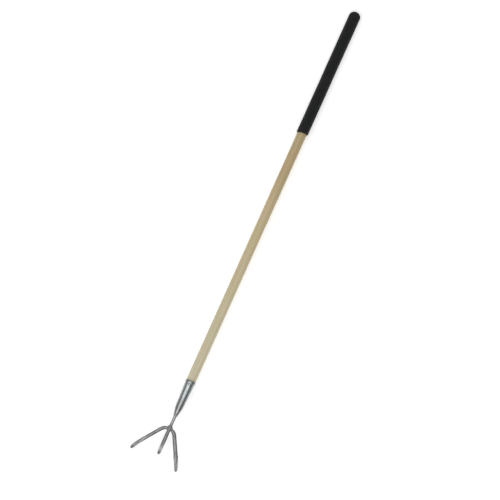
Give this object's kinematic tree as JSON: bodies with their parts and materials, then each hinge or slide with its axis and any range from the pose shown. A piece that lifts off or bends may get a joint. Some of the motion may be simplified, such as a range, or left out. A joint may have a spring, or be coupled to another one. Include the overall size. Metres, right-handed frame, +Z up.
{
  "type": "hand rake",
  "caption": "Long-handled claw rake: steel prongs bent down from a tapered socket on a round wooden handle with a black foam grip.",
  "frame": {"origin": "on the floor under the middle of the tool's box, with the tool lying on its prong tips and the end of its grip", "axes": "+X from the grip towards the prongs, +Z up, +Y across; the handle rises 1.97 degrees towards +X and lies at y = 5.5 mm"},
  "size_m": [1.2154, 0.1276, 0.0628],
  "materials": {
    "handle_wood": "pale ash pole, straight grain, thin satin lacquer",
    "grip_foam": "black closed-cell foam with a fine pebbled skin",
    "socket_steel": "bright zinc-plated sheet steel, faintly brushed along its length",
    "rivet_steel": "bright steel",
    "tine_steel": "satin drawn steel bar, rubbed brighter on the bends and dark at the points",
    "weld_steel": "rippled weld metal, a little brighter than the rods"
  },
  "bodies": {
    "root": {"handle_shaft": "handle_wood", "foam_grip": "grip_foam", "socket": "socket_steel", "socket_rivet": "rivet_steel", "socket_weld": "weld_steel", "centre_tine": "tine_steel", "side_tines": "tine_steel", "claw_weld": "weld_steel"}
  },
  "joints": []
}
